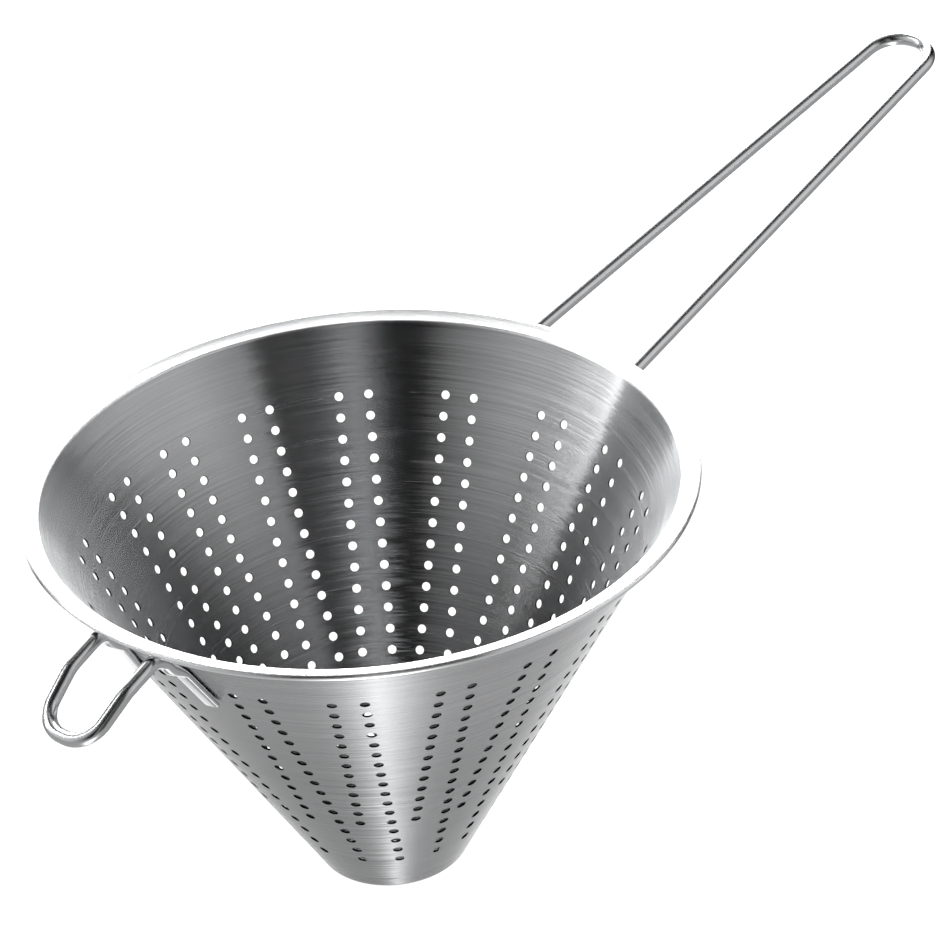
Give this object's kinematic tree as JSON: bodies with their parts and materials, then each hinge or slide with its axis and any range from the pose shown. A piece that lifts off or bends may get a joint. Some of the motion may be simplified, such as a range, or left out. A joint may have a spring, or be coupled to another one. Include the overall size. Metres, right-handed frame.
{
  "type": "chinois strainer",
  "caption": "Conical perforated steel strainer with a turned-out rolled rim, a long wire loop handle and a wire rest hook.",
  "frame": {"origin": "middle of the outside of the bowl's flat end, on the axis of the cone", "axes": "+Z along the cone's axis, up through the open mouth; +X towards the handle; the rest hook is on -X, 1.5 degrees off it"},
  "size_m": [0.4324, 0.2197, 0.1834],
  "materials": {
    "brushed_steel": "brushed round the axis",
    "polished_wire": "polished"
  },
  "bodies": {
    "root": {"strainer_bowl": "brushed_steel", "handle_wire": "polished_wire", "rest_hook": "polished_wire", "handle_weld_left_upper": "brushed_steel", "handle_weld_left_lower": "brushed_steel", "handle_weld_right_upper": "brushed_steel", "handle_weld_right_lower": "brushed_steel", "hook_weld_left_upper": "brushed_steel", "hook_weld_left_lower": "brushed_steel", "hook_weld_right_upper": "brushed_steel", "hook_weld_right_lower": "brushed_steel"}
  },
  "joints": []
}
